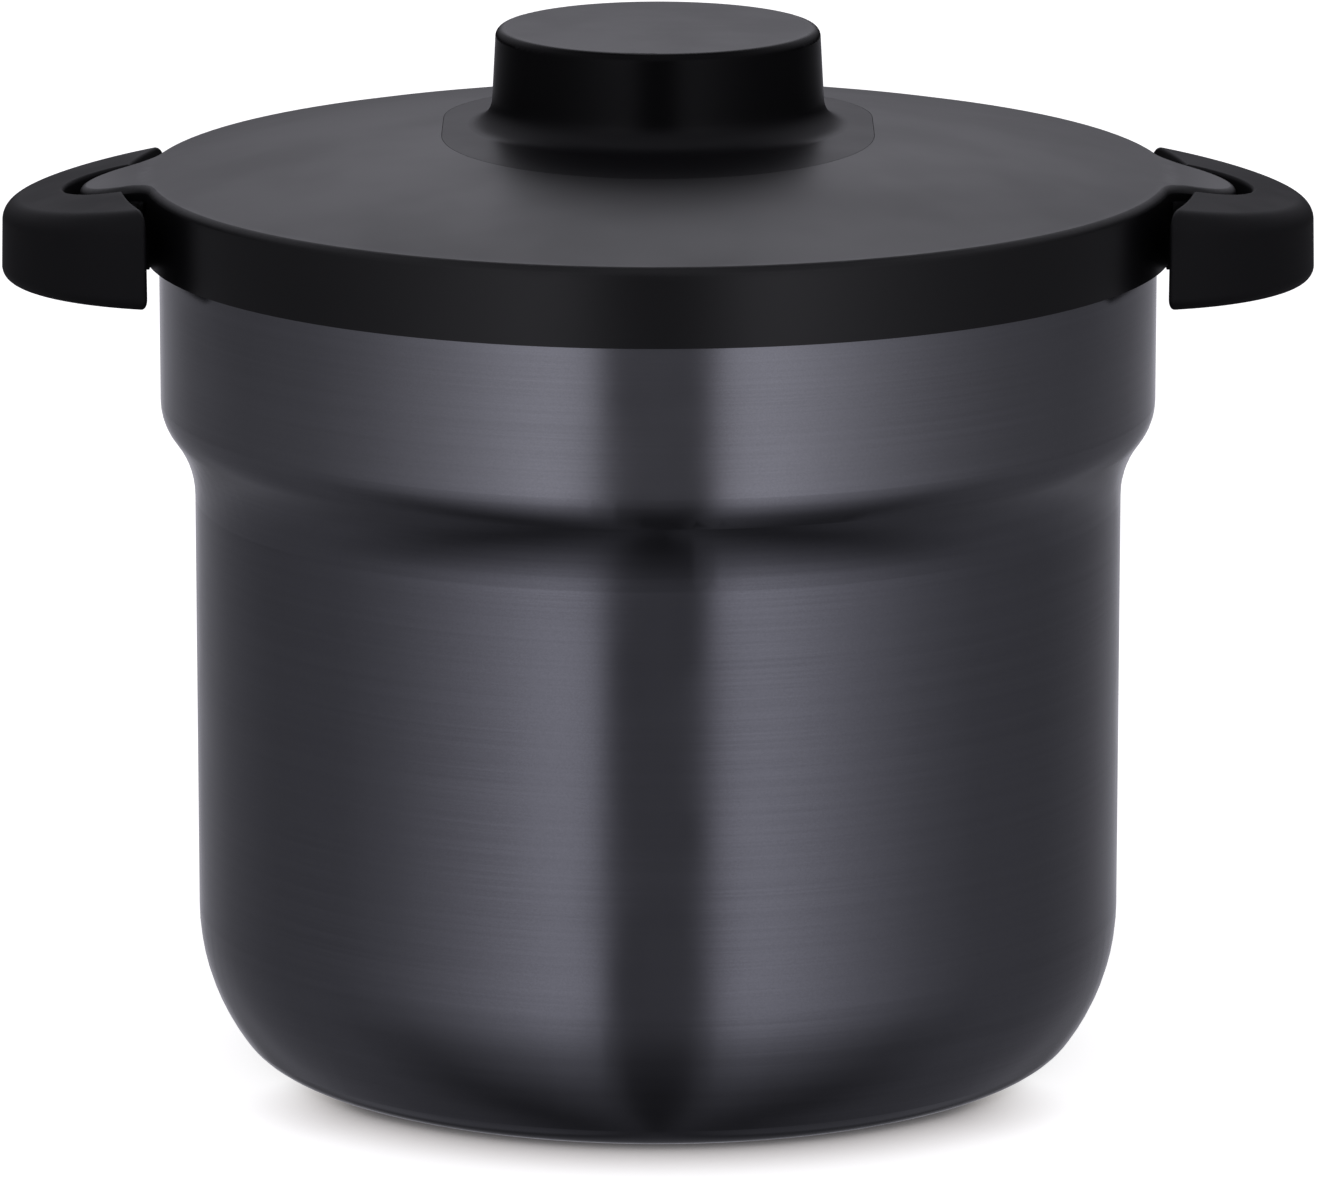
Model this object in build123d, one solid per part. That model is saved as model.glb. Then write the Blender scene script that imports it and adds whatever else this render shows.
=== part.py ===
from build123d import *
import math
import os

# Thermal cooker: a vacuum-walled steel container with two side handles, a cooking pot with its
# own glass lid standing inside it, and an insulated outer lid with a round knob.
# Millimetres. Z is up from the plane that the foot stands on, X runs through both handles,
# and the front faces -Y.

# Container, outside
wall_radius = 110.3
step_out = 8.0
shell_wall = 0.8
foot_large_bend = 51.7
foot_large_turn = 35.7
foot_small_bend = 12.9
step_top = 159.1
step_upper_bend = 12.2
step_lower_bend = 25.7
band_height = 48.4
lip_bend = 3.0

# Container, base
base_lip_inset = 5.0
base_lip_rise = 4.8
base_recess = 3.0
seal_cover_radius = 14.0
seal_radius = 2.0
getter_radius = 7.0
getter_height = 2.6
getter_offset = 34.0

# Container, inside
vacuum_gap = 4.1
inner_floor_height = 11.0
inner_corner_bend = 26.0
foil_wall = 0.3
foil_gap = 0.4
foil_bottom = 48.0
foil_top_gap = 5.8

# Pot
pot_gap = 3.8
pot_wall = 0.8
pot_corner_bend = 22.0
pot_rim_rise = 8.9
bead_radius = 1.8
base_disc_inset = 4.8
base_cap_wall = 0.6
base_core_height = 3.6
pot_ear_wire = 2.5
pot_ear_half_width = 28.0
pot_ear_foot_bend = 4.2
pot_ear_top_bend = 9.0
pot_ear_foot_drop = 2.1
pot_ear_wall_gap = 1.0
pot_ear_lid_gap = 3.4
pot_ear_plate_wall = 1.2
pot_ear_plate_height = 13.0
pot_ear_plate_half_angle = 20.0

# Pot lid
glass_wall = 4.0
glass_rise = 11.8
glass_flat_width = 6.8
pot_lid_seat_gap = 0.3
band_wall = 0.6
band_overhang = 1.6
band_flange_width = 4.4
locating_lip_drop = 4.0
locating_lip_gap = 0.8
seal_wall = 0.4
vent_offset = 55.0
vent_bore = 2.0
vent_wall = 0.8
vent_flange_radius = 4.8
vent_flange_wall = 0.6
vent_seat_gap = 0.1
pot_knob_radius = 17.0
pot_knob_neck_radius = 9.5
pot_knob_brim = 4.4
pot_knob_bend = 1.8
pot_knob_headroom = 4.3
pot_knob_base_radius = 14.0
pot_knob_base_height = 2.0
pot_screw_radius = 2.4
pot_screw_head_radius = 5.0
pot_screw_head_height = 2.4
pot_screw_depth = 6.0
pot_washer_radius = 8.0
pot_washer_wall = 1.2
glass_hole_gap = 0.6

# Outer lid, cover
skirt_gap = 1.4
skirt_wall = 2.2
skirt_drop = 12.8
dome_radius = 561.0
rim_rise = 5.47
cover_wall = 2.5
rim_bend = 1.8
ear_radius = 15.5
ear_inset = 0.4
ear_root_bend = 12.0
ear_wall = 3.4
notch_half_width = 15.2

# Outer lid, knob
knob_radius = 38.8
knob_height = 24.75
knob_top_bend = 2.1
knob_crown = 0.65
knob_draft = 0.46
flare_bend = 6.2
flange_radius = 50.9
flange_end_shift = 12.0
flange_seam = 0.12
flange_seat_depth = 2.4
knob_wall = 3.0
knob_boss_radius = 4.6
knob_boss_circle = 27.0
knob_boss_count = 3
knob_boss_turn = 90.0

# Outer lid, underside
lip_cover_wall = 2.0
lip_cover_gap = 0.4
plug_gap = 1.4
plug_drop = 13.5
plug_land_width = 19.2
plug_recess_rise = 8.0
plug_recess_radius = 62.0
plug_bend = 2.4
cover_boss_radius = 4.2
cover_boss_inset = 10.0
cover_boss_count = 6
cover_boss_turn = 30.0
insulation_gap = 0.4
insulation_wall_gap = 1.0

# Screws
screw_radius = 1.7
screw_head_radius = 3.3
screw_head_height = 2.0
screw_bite = 10.0
screw_gap = 0.1
bore_gap = 0.5

# Container handles
handle_radius = 47.0
handle_centre_inset = 13.2
handle_taper = 0.8
arm_gap = 5.2
ear_gap = 2.0
slot_shift = 1.8
handle_crown_radius = 735.0
handle_top_drop = 0.5
handle_drop = 6.7
handle_top_bend = 5.0
handle_bottom_bend = 3.0
arm_edge_bend = 0.8
neck_half_width = 12.5
neck_lift = 3.7
neck_gap = 1.2
handle_wall = 3.5
grip_roof = 5.0
bracket_wall = 1.5
bracket_half_width = 13.5
bracket_height = 12.0
tongue_wall = 2.0
tongue_half_width = 8.0
tongue_rise = 5.2
tongue_end_gap = 6.0
tongue_gap = 0.3
handle_screw_radius = 1.9
handle_screw_head_radius = 3.5
handle_screw_head_height = 2.2
handle_screw_bite = 5.0
handle_screw_inset = 12.0
handle_screw_end_inset = 2.9
counterbore_gap = 0.4

# One overrun for every cut
over = 20.0

# Container, worked out
band_radius = wall_radius + step_out
lip_height = step_top + band_height
step_turn = math.degrees(math.acos(1 - (band_radius - wall_radius) / (step_upper_bend + step_lower_bend)))
step_drop = (step_upper_bend + step_lower_bend) * math.sin(math.radians(step_turn))
step_bottom = step_top - step_drop
large_sine = math.sin(math.radians(foot_large_turn))
large_cosine = math.cos(math.radians(foot_large_turn))
corner_top = (foot_large_bend - foot_small_bend) * large_sine + foot_small_bend
small_bend_radius = wall_radius - foot_large_bend + (foot_large_bend - foot_small_bend) * large_cosine
base_lip_radius = small_bend_radius - base_lip_inset
inner_offset = shell_wall + vacuum_gap
mouth_radius = band_radius - inner_offset - shell_wall
inner_radius = wall_radius - inner_offset - shell_wall

# Pot, worked out
pot_radius = inner_radius - pot_gap
pot_inner_radius = pot_radius - pot_wall
pot_floor_height = inner_floor_height + base_cap_wall + base_core_height
pot_rim_height = step_top + pot_rim_rise
bead_circle = pot_inner_radius + bead_radius
base_disc_radius = pot_radius - pot_corner_bend - base_disc_inset + base_disc_inset / 2
pot_ear_foot_height = step_top - pot_ear_foot_drop
pot_ear_reach = mouth_radius - pot_ear_wall_gap - pot_ear_wire
pot_ear_place = math.sqrt(pot_ear_reach**2 - pot_ear_half_width**2)

# Outer lid, worked out
skirt_radius = band_radius + skirt_gap + skirt_wall
skirt_bottom = lip_height - skirt_drop
dome_top = lip_height + rim_rise + dome_radius - math.sqrt(dome_radius**2 - skirt_radius**2)
plug_radius = mouth_radius - plug_gap
plug_bottom = lip_height - plug_drop
plug_ceiling = plug_bottom + plug_recess_rise
cover_boss_circle = plug_radius - cover_boss_inset
ear_place = skirt_radius - ear_inset
pot_ear_top = plug_bottom - pot_ear_lid_gap


def dome_height(radius, depth=0):
    """Height of the lid's domed top, or of the face that lies depth under it."""
    ball = dome_radius - depth
    return dome_top - dome_radius + math.sqrt(ball**2 - radius**2)


flange_reach = flange_radius + flange_end_shift
flange_seat = dome_height(flange_reach) - flange_seat_depth
glass_foot = pot_rim_height + pot_lid_seat_gap + band_wall + seal_wall
glass_top = glass_foot + glass_wall + glass_rise
glass_radius = pot_inner_radius + band_overhang - band_wall - seal_wall
pot_knob_top = plug_ceiling - pot_knob_headroom
handle_place = skirt_radius - handle_centre_inset
arm_radius = skirt_radius + arm_gap
slot_place = ear_place + slot_shift
slot_radius = ear_radius + ear_gap
handle_crown_centre = lip_height + rim_rise - math.sqrt(handle_crown_radius**2 - skirt_radius**2)
handle_bottom = skirt_bottom - handle_drop
neck_bottom = handle_bottom + neck_lift
neck_top = dome_height(ear_place + ear_radius, ear_wall) - neck_gap
tongue_bottom = neck_bottom + tongue_rise
bracket_radius = band_radius + bracket_wall
tongue_end = handle_place + handle_radius - tongue_end_gap


def turned(points, rounded=()):
    """A closed outline of (radius, height) points turned about the Z axis.
    rounded lists (point number, bend radius)."""
    face = make_face(Polyline(*points, close=True))
    for number, bend in rounded:
        corner = Vector(*points[number])
        vertex = min(face.vertices(), key=lambda v: (Vector(v.X, v.Y) - corner).length)
        face = fillet(vertex, bend)
    return revolve(Plane.XZ * face, axis=Axis.Z)


def turned_edges(*edges):
    return revolve(Plane.XZ * make_face(edges), axis=Axis.Z)


def tube(inner, outer, bottom, top):
    return turned([(inner, bottom), (outer, bottom), (outer, top), (inner, top)])


def rod(radius, bottom, top, x=0, y=0):
    height = top - bottom
    return Pos(x, y, bottom) * Cylinder(radius, height, align=(Align.CENTER, Align.CENTER, Align.MIN))


def block(x_low, x_high, half_width, bottom, top):
    size = Box(x_high - x_low, 2 * half_width, top - bottom, align=(Align.MIN, Align.CENTER, Align.MIN))
    return Pos(x_low, 0, bottom) * size


def dome_body(depth):
    """Everything under the lid's domed top, lowered by depth."""
    ball = dome_radius - depth
    return Pos(0, 0, dome_top - dome_radius) * Sphere(ball)


def handle_crown(depth):
    """Everything under the handles' crowned tops, which start level with the lid's rim, lowered by depth."""
    return Pos(0, 0, handle_crown_centre) * Sphere(handle_crown_radius - depth)


def flange_plan(height, gap):
    """The knob's flange from above: straight sides and round ends, gap wider all round."""
    plan = SlotCenterToCenter(2 * flange_end_shift, 2 * (flange_radius + gap), rotation=90)
    return Pos(0, 0, height) * plan


def around(count, radius, start=0):
    """Places on a circle, as (x, y)."""
    places = []
    for number in range(count):
        angle = math.radians(start + 360 * number / count)
        places.append((radius * math.cos(angle), radius * math.sin(angle)))
    return places


def wall_edges(depth, bottom):
    """The container's wall from the lip's bend down to bottom, depth inside its outer face.
    Gives the edges from the top down."""
    top = lip_height - lip_bend
    band = band_radius - depth
    wall = wall_radius - depth
    upper = CenterArc((band_radius - step_upper_bend, step_top), step_upper_bend - depth, 0, -step_turn)
    lower_centre = (wall_radius + step_lower_bend, step_bottom)
    lower = CenterArc(lower_centre, step_lower_bend + depth, 180 - step_turn, step_turn)
    return [Line((band, top), (band, step_top)), upper, lower, Line((wall, step_bottom), (wall, bottom))]


def filled_wall(depth):
    """The outer vessel filled solid, depth inside its outer face, open to the base lip."""
    large = foot_large_bend - depth
    small = foot_small_bend - depth
    large_arc = CenterArc((wall_radius - foot_large_bend, corner_top), large, 0, -foot_large_turn)
    small_arc = CenterArc((small_bend_radius, foot_small_bend), small, -foot_large_turn, foot_large_turn - 90)
    edges = wall_edges(depth, corner_top)
    edges += [large_arc, small_arc]
    edges += [Line(small_arc @ 1, (0, depth)), Line((0, depth), (0, lip_height - depth))]
    lip_arc = CenterArc((band_radius - lip_bend, lip_height - lip_bend), lip_bend - depth, 0, 90)
    edges += [Line((0, lip_height - depth), lip_arc @ 1), lip_arc]
    return turned_edges(*edges)


def make_outer_wall():
    wall = filled_wall(0) - filled_wall(shell_wall)
    wall -= rod(band_radius - inner_offset, lip_height - over, lip_height + over)
    wall -= rod(base_lip_radius, -over, over)
    return wall + tube(base_lip_radius, base_lip_radius + shell_wall, 0, base_lip_rise)


def make_outer_shell():
    """The foot, the straight wall and the step."""
    return make_outer_wall() - rod(band_radius + over, step_top, lip_height + over)


def make_outer_band():
    """The straight band over the step, with the rolled lip."""
    return make_outer_wall() - rod(band_radius + over, -over, step_top)


def filled_inner(depth, floor):
    """The inner vessel filled solid, depth inside the container's outer face."""
    bend = inner_corner_bend + inner_offset + shell_wall - depth
    wall = wall_radius - depth
    corner = CenterArc((wall - bend, floor + bend), bend, 0, -90)
    edges = wall_edges(depth, floor + bend)
    edges += [corner, Line((wall - bend, floor), (0, floor)), Line((0, floor), (0, lip_height))]
    edges += [Line((0, lip_height), (band_radius - depth, lip_height))]
    edges += [Line((band_radius - depth, lip_height), (band_radius - depth, lip_height - lip_bend))]
    return turned_edges(*edges)


def make_inner_shell():
    outside = filled_inner(inner_offset, inner_floor_height - shell_wall)
    inside = filled_inner(inner_offset + shell_wall, inner_floor_height)
    return outside - inside


def make_base_pan():
    pan = rod(base_lip_radius, base_recess, base_recess + shell_wall)
    return pan - rod(seal_radius, -over, over)


def make_vacuum_seal():
    return rod(seal_radius, base_recess, base_recess + shell_wall)


def make_seal_cover():
    return rod(seal_cover_radius, base_recess - shell_wall, base_recess)


def make_getter():
    bottom = base_recess + shell_wall
    return rod(getter_radius, bottom, bottom + getter_height, getter_offset)


def make_radiation_foil():
    inner = inner_radius + shell_wall + foil_gap
    return tube(inner, inner + foil_wall, foil_bottom, step_bottom - foil_top_gap)


def handle_form(wall, bottom):
    """A handle's outline inside its wall, from bottom up: a tapered disc less the ring round the
    lid and the slot round the lid's ear."""
    height = dome_top - bottom
    slope = handle_taper / (dome_top - handle_bottom)
    top_radius = handle_radius - wall - handle_taper
    cone = Cone(top_radius + slope * height, top_radius, height, align=(Align.CENTER, Align.CENTER, Align.MIN))
    form = Pos(handle_place, 0, bottom) * cone
    form -= rod(arm_radius + wall, bottom - over, dome_top + over)
    form -= rod(slot_radius + wall, bottom - over, dome_top + over, slot_place)
    return form


def handle_screw_places():
    return [bracket_radius + handle_screw_inset, tongue_end - handle_screw_end_inset]


def edge_side(edge):
    """1 where an edge runs round a handle's outer face, -1 round its inner one, 0 elsewhere."""
    start = edge @ 0
    end = edge @ 1
    if abs(end.Z - start.Z) > math.hypot(end.X - start.X, end.Y - start.Y):
        return 0
    outer = 0
    for share in (0.25, 0.5, 0.75):
        point = edge @ share
        past_arm = math.hypot(point.X, point.Y) - arm_radius
        past_slot = math.hypot(point.X - slot_place, point.Y) - slot_radius
        if min(past_arm, past_slot) > arm_edge_bend:
            outer += 1
    return {3: 1, 0: -1}.get(outer, 0)


def make_handle():
    """The handle on the +X side."""
    grip = handle_form(0, handle_bottom) & handle_crown(handle_top_drop)
    edges = [e for e in grip.edges() if edge_side(e) == 1 and (e @ 0.5).Z > neck_bottom]
    grip = fillet(edges, handle_top_bend)
    edges = [e for e in grip.edges() if edge_side(e) == 1 and (e @ 0.5).Z < neck_bottom]
    grip = fillet(edges, handle_bottom_bend)
    edges = [e for e in grip.edges() if edge_side(e) == -1 and (e @ 0.5).Z > neck_top]
    grip = fillet(edges, arm_edge_bend)
    core_end = handle_place + handle_radius - handle_wall
    core = block(bracket_radius, core_end, neck_half_width, neck_bottom, neck_top)
    hollow = handle_form(handle_wall, handle_bottom - over) & handle_crown(grip_roof)
    hollow -= block(0, core_end + over, neck_half_width, handle_bottom - over, dome_top)
    grip -= hollow
    grip += core
    slot_end = tongue_end + tongue_gap
    slot_top = tongue_bottom + tongue_wall + tongue_gap
    grip -= block(0, slot_end, tongue_half_width + tongue_gap, tongue_bottom - tongue_gap, slot_top)
    grip -= block(0, bracket_radius + tongue_gap, bracket_half_width + over, 0, dome_top)
    head_bottom = tongue_bottom - tongue_gap - handle_screw_head_height
    for x in handle_screw_places():
        grip -= rod(handle_screw_radius + screw_gap, 0, tongue_bottom + tongue_wall + handle_screw_bite, x)
        grip -= rod(handle_screw_head_radius + counterbore_gap, 0, head_bottom + handle_screw_head_height / 2, x)
    return grip


def make_bracket():
    """The steel bracket welded to the container under the +X handle."""
    top = neck_bottom + bracket_height
    plate = tube(band_radius, bracket_radius, neck_bottom, top)
    plate = plate & block(0, bracket_radius + over, bracket_half_width, neck_bottom, top)
    tongue = block(band_radius, tongue_end, tongue_half_width, tongue_bottom, tongue_bottom + tongue_wall)
    tongue -= rod(band_radius, 0, lip_height)
    bracket = plate + tongue
    for x in handle_screw_places():
        bracket -= rod(handle_screw_radius + screw_gap, 0, lip_height, x)
    return bracket


def make_handle_screws():
    """Two pan-head screws from below, through the bracket's tongue into the handle."""
    seat = tongue_bottom - tongue_gap - handle_screw_head_height / 2
    screws = []
    for x in handle_screw_places():
        head = rod(handle_screw_head_radius, seat - handle_screw_head_height, seat, x)
        shank = rod(handle_screw_radius, seat, tongue_bottom + tongue_wall + handle_screw_bite - screw_gap, x)
        screws.append(head + shank)
    return screws


def filled_pot(radius, bend, floor):
    wall_top = pot_rim_height - bead_radius
    points = [(0, floor), (radius, floor), (radius, wall_top), (0, wall_top)]
    return turned(points, [(1, bend)])


def make_pot_body():
    outside = filled_pot(pot_radius, pot_corner_bend, pot_floor_height)
    inside = filled_pot(pot_inner_radius, pot_corner_bend - pot_wall, pot_floor_height + pot_wall)
    body = outside - inside
    bead_centre = Pos(bead_circle, pot_rim_height - bead_radius)
    return body + revolve(Plane.XZ * (bead_centre * Circle(bead_radius)), axis=Axis.Z)


def make_base_core():
    radius = base_disc_radius - base_cap_wall
    return rod(radius, inner_floor_height + base_cap_wall, pot_floor_height)


def make_base_cap():
    cup = rod(base_disc_radius, inner_floor_height, pot_floor_height)
    return cup - rod(base_disc_radius - base_cap_wall, inner_floor_height + base_cap_wall, lip_height)


def make_pot_ear():
    """The wire loop on the pot's +X side, standing up inside the container's wide band."""
    root = pot_radius - pot_ear_wire
    foot = pot_ear_foot_height
    bar = pot_ear_top - pot_ear_wire
    half = pot_ear_half_width
    corners = [(root, -half, foot), (pot_ear_place, -half, foot), (pot_ear_place, -half, bar)]
    corners += [(x, -y, z) for x, y, z in reversed(corners)]
    bends = [pot_ear_foot_bend, pot_ear_top_bend, pot_ear_top_bend, pot_ear_foot_bend]
    path = FilletPolyline(*corners, radius=bends)
    loop = sweep(Plane(origin=path @ 0, z_dir=path % 0) * Circle(pot_ear_wire), path=path)
    return loop - rod(pot_radius + pot_ear_plate_wall, 0, lip_height)


def make_pot_ear_plate():
    """The curved plate that carries a loop's two feet, welded to the pot's wall."""
    middle = pot_ear_foot_height
    low = middle - pot_ear_plate_height / 2
    plate = tube(pot_radius, pot_radius + pot_ear_plate_wall, low, low + pot_ear_plate_height)
    half = (pot_radius + pot_ear_plate_wall) * math.sin(math.radians(pot_ear_plate_half_angle))
    return plate & block(0, pot_radius + over, half, low, low + pot_ear_plate_height)


def make_glass():
    """A shallow glass dome with a flat edge, bored for the knob's screw and the steam vent."""
    flat = glass_radius - glass_flat_width
    low = glass_foot
    high = glass_foot + glass_wall
    under = arc_over(flat, low, glass_rise)
    upper = arc_over(flat, high, glass_rise)
    edges = [under, Line((flat, low), (glass_radius, low)), Line((glass_radius, low), (glass_radius, high))]
    edges += [Line((glass_radius, high), (flat, high)), upper, Line((0, low + glass_rise), (0, high + glass_rise))]
    glass = turned_edges(*edges)
    glass -= rod(pot_screw_radius + glass_hole_gap, low, high + over)
    return glass - vent_place() * Cylinder(vent_bore + vent_wall, over)


def arc_over(radius, height, rise):
    """A dome's profile: from the axis, rise above height, down to radius at height."""
    ball = (radius**2 + rise**2) / (2 * rise)
    half = radius / 2
    return ThreePointArc((0, height + rise), (half, height + rise - ball + math.sqrt(ball**2 - half**2)),
                         (radius, height))


def vent_place():
    """The vent's place on the middle of the glass, square to it."""
    flat = glass_radius - glass_flat_width
    ball = (flat**2 + glass_rise**2) / (2 * glass_rise)
    tilt = math.degrees(math.asin(vent_offset / ball))
    height = glass_foot + glass_wall / 2 + glass_rise - ball + math.sqrt(ball**2 - vent_offset**2)
    return Pos(0, vent_offset, height) * Rot(-tilt, 0, 0)


def make_vent():
    half = glass_wall / 2
    low = -half - vent_seat_gap
    eyelet = tube(vent_bore, vent_bore + vent_wall, low - vent_flange_wall, half + vent_flange_wall)
    eyelet += tube(vent_bore, vent_flange_radius, half, half + vent_flange_wall)
    eyelet += tube(vent_bore, vent_flange_radius, low - vent_flange_wall, low)
    return vent_place() * eyelet


def make_lid_band():
    """The steel band round the glass: a channel open inwards, with a lip that centres the lid."""
    bottom = pot_rim_height + pot_lid_seat_gap
    top = bottom + 2 * band_wall + 2 * seal_wall + glass_wall
    outer = pot_inner_radius + band_overhang
    inner = outer - band_wall - band_flange_width
    band = tube(inner, outer, bottom, top)
    band -= tube(inner - over, outer - band_wall, bottom + band_wall, top - band_wall)
    lip = pot_inner_radius - locating_lip_gap
    return band + tube(lip - band_wall, lip, bottom - locating_lip_drop, bottom + band_wall)


def make_lid_seal():
    """The silicone liner between the glass's edge and its band."""
    bottom = pot_rim_height + pot_lid_seat_gap + band_wall
    top = bottom + 2 * seal_wall + glass_wall
    outer = pot_inner_radius + band_overhang - band_wall
    seal = tube(outer - band_flange_width, outer, bottom, top)
    return seal - tube(outer - over, glass_radius, glass_foot, glass_foot + glass_wall)


def make_pot_knob_base():
    base = rod(pot_knob_base_radius, glass_top, glass_top + pot_knob_base_height)
    return base - rod(pot_screw_radius + screw_gap, glass_top - over, lip_height)


def make_pot_knob():
    low = glass_top + pot_knob_base_height
    brim = pot_knob_top - pot_knob_brim
    points = [(0, low), (pot_knob_neck_radius, low), (pot_knob_neck_radius, brim - pot_knob_bend),
              (pot_knob_radius, brim), (pot_knob_radius, pot_knob_top), (0, pot_knob_top)]
    knob = turned(points, [(4, pot_knob_bend)])
    return knob - rod(pot_screw_radius + screw_gap, low - over, low + pot_screw_depth + screw_gap)


def washer_top():
    """Where a flat washer's edge meets the hollow underside of the glass."""
    flat = glass_radius - glass_flat_width
    ball = (flat**2 + glass_rise**2) / (2 * glass_rise)
    return glass_top - glass_wall - (ball - math.sqrt(ball**2 - pot_washer_radius**2))


def make_pot_washer():
    washer = rod(pot_washer_radius, washer_top() - pot_washer_wall, washer_top())
    return washer - rod(pot_screw_radius + screw_gap, 0, lip_height)


def make_pot_lid_screw():
    seat = washer_top() - pot_washer_wall
    head = rod(pot_screw_head_radius, seat - pot_screw_head_height, seat)
    return head + rod(pot_screw_radius, seat, glass_top + pot_knob_base_height + pot_screw_depth)


def make_upper_cover():
    """The lid's domed top and skirt, moulded in one, with an ear over each handle's neck."""
    plan = Circle(skirt_radius)
    for side in (-1, 1):
        plan += Pos(side * ear_place, 0) * Circle(ear_radius)
    roots = [v for v in plan.vertices() if abs(v.Y) > ear_radius / 2]
    plan = fillet(roots, ear_root_bend)
    cover = extrude(Pos(0, 0, skirt_bottom) * plan, dome_top) & dome_body(0)
    edges = [e for e in cover.edges() if (e @ 0.5).Z > lip_height and math.hypot((e @ 0.5).X, (e @ 0.5).Y) > plug_radius]
    cover = fillet(edges, rim_bend)
    cover -= tube(skirt_radius, skirt_radius + 2 * over, 0, dome_top) & dome_body(ear_wall)
    roof = extrude(flange_plan(flange_seat - cover_wall, flange_seam + cover_wall), dome_top)
    cover -= (rod(skirt_radius - skirt_wall, 0, dome_top) & dome_body(cover_wall)) - roof
    cover -= extrude(flange_plan(flange_seat, flange_seam), dome_top)
    reach = skirt_radius + over
    notch = block(-reach, reach, notch_half_width, 0, neck_top)
    cover -= notch - rod(band_radius, 0, lip_height)
    for x, y in around(cover_boss_count, cover_boss_circle, cover_boss_turn):
        top = dome_height(cover_boss_circle) - cover_wall / 2
        cover += rod(cover_boss_radius, plug_bottom + lip_cover_wall, top, x, y)
    for x, y in around(cover_boss_count, cover_boss_circle, cover_boss_turn):
        cover -= rod(screw_radius, 0, plug_bottom + lip_cover_wall + screw_bite, x, y)
    for x, y in around(knob_boss_count, knob_boss_circle, knob_boss_turn):
        cover -= rod(screw_radius + screw_gap, 0, dome_top + over, x, y)
    return cover


def make_knob():
    """The round knob: a slightly crowned top, a drafted side, and a flare that runs out into a
    flange, which is flush with the lid's dome."""
    side_top = dome_height(flange_reach) + knob_height
    top = side_top + knob_crown
    ball_centre = dome_top - dome_radius
    flare_out = knob_radius + knob_draft + flare_bend
    flare_height = ball_centre + math.sqrt((dome_radius + flare_bend)**2 - flare_out**2)
    flare_turn = 90 - math.degrees(math.asin(flare_out / (dome_radius + flare_bend)))
    flare = CenterArc((flare_out, flare_height), flare_bend, 180, flare_turn)
    reach = flange_reach + over
    bottom = flange_seat - over
    crown = ThreePointArc((0, top), (knob_radius / 2, top - knob_crown / 4), (knob_radius - knob_draft, side_top))
    side = Line((knob_radius - knob_draft, side_top), flare @ 0)
    flush = ThreePointArc(flare @ 1, (flange_radius, dome_height(flange_radius)), (reach, dome_height(reach)))
    edge = Line((reach, dome_height(reach)), (reach, bottom))
    face = make_face([crown, side, flare, flush, edge, Line((reach, bottom), (0, bottom)), Line((0, bottom), (0, top))])
    corner = [v for v in face.vertices() if abs(v.Y - side_top) < knob_crown / 4 and v.X > knob_radius / 2]
    knob = revolve(Plane.XZ * fillet(corner, knob_top_bend), axis=Axis.Z)
    knob = knob & extrude(flange_plan(flange_seat, 0), dome_top)
    knob -= rod(knob_radius - knob_wall, flange_seat - over, side_top - knob_wall)
    for x, y in around(knob_boss_count, knob_boss_circle, knob_boss_turn):
        knob += rod(knob_boss_radius, flange_seat, side_top - knob_wall / 2, x, y)
        knob -= rod(screw_radius, flange_seat - over, flange_seat + screw_bite, x, y)
    return knob


def make_lower_cover():
    """The lid's underside: a flange that rests on the container's lip, and a plug in its mouth."""
    rim = skirt_radius - skirt_wall - lip_cover_gap
    land = plug_radius - plug_land_width
    wall = lip_cover_wall
    below = [(rim, lip_height), (plug_radius, lip_height), (plug_radius, plug_bottom), (land, plug_bottom),
             (plug_recess_radius, plug_ceiling), (0, plug_ceiling)]
    above = [(0, plug_ceiling + wall), (plug_recess_radius, plug_ceiling + wall), (land, plug_bottom + wall),
             (plug_radius - wall, plug_bottom + wall), (plug_radius - wall, lip_height + wall), (rim, lip_height + wall)]
    cover = turned(below + above, [(2, plug_bend)])
    for x, y in around(cover_boss_count, cover_boss_circle, cover_boss_turn):
        cover -= rod(screw_radius + screw_gap, 0, lip_height, x, y)
    return cover


def make_insulation():
    """The foam block that fills the lid between its two covers."""
    land = plug_radius - plug_land_width
    wall = lip_cover_wall + insulation_gap
    outer = plug_radius - lip_cover_wall - insulation_wall_gap
    low = plug_bottom + wall
    block_top = dome_top
    points = [(0, plug_ceiling + wall), (plug_recess_radius, plug_ceiling + wall), (land, low), (outer, low),
              (outer, block_top), (0, block_top)]
    foam = turned(points) & dome_body(cover_wall + insulation_gap)
    seat = flange_seat - cover_wall
    foam -= extrude(flange_plan(seat - insulation_gap, flange_seam + cover_wall + insulation_gap), dome_top)
    for x, y in around(cover_boss_count, cover_boss_circle, cover_boss_turn):
        foam -= rod(cover_boss_radius + insulation_gap, 0, dome_top, x, y)
    for x, y in around(knob_boss_count, knob_boss_circle, knob_boss_turn):
        pocket = seat - screw_head_height - bore_gap
        foam -= rod(screw_head_radius + bore_gap, pocket, dome_top, x, y)
    return foam


def make_screws(places, seat, head_low=True):
    """Pan-head screws driven upwards, with their heads against seat."""
    screws = []
    for x, y in places:
        head = rod(screw_head_radius, seat - screw_head_height, seat, x, y)
        shank = rod(screw_radius, seat, seat + screw_length_past(seat), x, y)
        screws.append(head + shank)
    return screws


def screw_length_past(seat):
    if seat < plug_ceiling:
        return lip_cover_wall + screw_bite - screw_gap
    return cover_wall + screw_bite - screw_gap


def make_cover_screws():
    return make_screws(around(cover_boss_count, cover_boss_circle, cover_boss_turn), plug_bottom)


def make_knob_screws():
    return make_screws(around(knob_boss_count, knob_boss_circle, knob_boss_turn), flange_seat - cover_wall)


def other_side(shape):
    """The same piece on the -X side."""
    return mirror(shape, Plane.YZ)


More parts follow.
